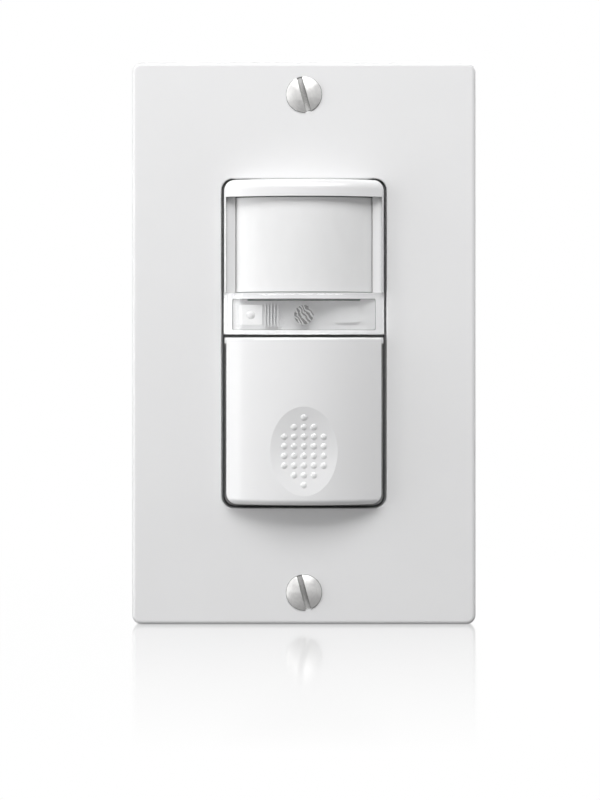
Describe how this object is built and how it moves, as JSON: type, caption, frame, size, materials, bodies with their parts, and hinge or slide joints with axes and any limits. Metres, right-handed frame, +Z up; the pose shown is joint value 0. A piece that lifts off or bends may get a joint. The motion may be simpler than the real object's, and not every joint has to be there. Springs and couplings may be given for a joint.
{
  "type": "wall occupancy sensor switch",
  "caption": "Single-gang wall occupancy sensor with a milky curved lens, a clear light-sensing band and a bowed push button in a flat white wall plate.",
  "frame": {"origin": "centre of the wall face: on the plane of the plate's rear rim, where the device meets the wall, at the middle of the plate", "axes": "+Z up, +Y into the wall, -Y out of the wall towards the viewer, +X to the right seen from the front"},
  "size_m": [0.0698, 0.0466, 0.1142],
  "materials": {
    "plate_white": "fine satin moulding",
    "device_white": "satin moulding",
    "button_white": "satin moulding",
    "lens_milky": "milky translucent",
    "window_clear": "clear moulded plastic",
    "bezel_grey": "light grey moulding",
    "cell_ceramic": "coated ceramic with a resistive track",
    "lead_tin": "tinned wire",
    "pipe_clear": "clear moulded plastic",
    "led_body": "white package",
    "can_nickel": "nickel plated",
    "filter_dark": "coated silicon",
    "holder_white": "plain moulding",
    "board_green": "solder mask",
    "chip_black": "moulded epoxy",
    "chip_tan": "plain",
    "switch_black": "moulded nylon",
    "plunger_black": "moulded nylon",
    "trimmer_blue": "moulded",
    "dial_white": "moulded",
    "steel_pin": "ground",
    "spring_steel": "drawn wire",
    "screw_nickel": "nickel plated, brushed dome",
    "screw_zinc": "zinc plated",
    "screw_green": "green dyed zinc plating",
    "yoke_zinc": "zinc plated sheet",
    "retainer_fibre": "plain",
    "relay_black": "moulded case",
    "film_yellow": "moulded box",
    "bulk_sleeve": "shrink sleeve over aluminium",
    "ferrite_grey": "sintered ferrite",
    "copper_wire": "enamelled copper winding",
    "varistor_blue": "dipped epoxy",
    "fuse_tan": "coated body",
    "housing_black": "textured thermoplastic",
    "terminal_brass": "stamped",
    "clamp_steel": "zinc plated"
  },
  "bodies": {
    "device": {"wall_plate": "plate_white", "plate_screws": "screw_nickel", "yoke": "yoke_zinc", "box_screws": "screw_zinc", "screw_retainers": "retainer_fibre", "ground_screw": "screw_green", "ground_clamp": "clamp_steel", "front_frame": "device_white", "fresnel_lens": "lens_milky", "light_window": "window_clear", "sensor_bezel": "bezel_grey", "photocell": "cell_ceramic", "photocell_leads": "lead_tin", "light_pipe": "pipe_clear", "hinge_pin": "steel_pin", "return_spring": "spring_steel", "logic_board": "board_green", "status_led": "led_body", "pir_can": "can_nickel", "pir_filter": "filter_dark", "pir_leads": "lead_tin", "pir_holder": "holder_white", "microcontroller": "chip_black", "chip_parts": "chip_tan", "tact_switch_body": "switch_black", "time_trimmer_body": "trimmer_blue", "light_trimmer_body": "trimmer_blue", "power_board": "board_green", "header_block": "chip_black", "header_pins": "lead_tin", "relay": "relay_black", "film_capacitor": "film_yellow", "bridge_rectifier": "chip_black", "bulk_capacitor": "bulk_sleeve", "choke_core": "ferrite_grey", "choke_winding": "copper_wire", "varistor": "varistor_blue", "fuse": "fuse_tan", "rear_housing": "housing_black", "housing_screws": "screw_zinc", "terminal_plates": "terminal_brass", "terminal_clamps": "clamp_steel", "terminal_screws": "terminal_brass"},
    "button": {"button_paddle": "button_white"},
    "plunger": {"tact_plunger": "plunger_black"},
    "time_dial": {"time_trimmer_dial": "dial_white"},
    "light_dial": {"light_trimmer_dial": "dial_white"}
  },
  "joints": [
    {"name": "button_press", "type": "hinge", "parent": "device", "child": "button", "pos_m": [0, -0.0042, -0.002], "axis": [1, 0, 0], "range_deg": [0, 1.5], "stiffness_Nm_per_rad": 0.5, "springref_deg": -1.15, "deforming": ["return_spring"]},
    {"name": "plunger_press", "type": "slide", "parent": "device", "child": "plunger", "axis": [0, 1, 0], "range_m": [0, 0.00048]},
    {"name": "time_dial_turn", "type": "hinge", "parent": "device", "child": "time_dial", "pos_m": [-0.0085, -0.0014, -0.01], "axis": [0, 1, 0], "range_deg": [-135, 135]},
    {"name": "light_dial_turn", "type": "hinge", "parent": "device", "child": "light_dial", "pos_m": [0.0085, -0.0014, -0.01], "axis": [0, 1, 0], "range_deg": [-135, 135]}
  ],
  "couplings": [
    {"joint": "plunger_press", "follows": "button_press", "m_per_rad": 0.018}
  ]
}
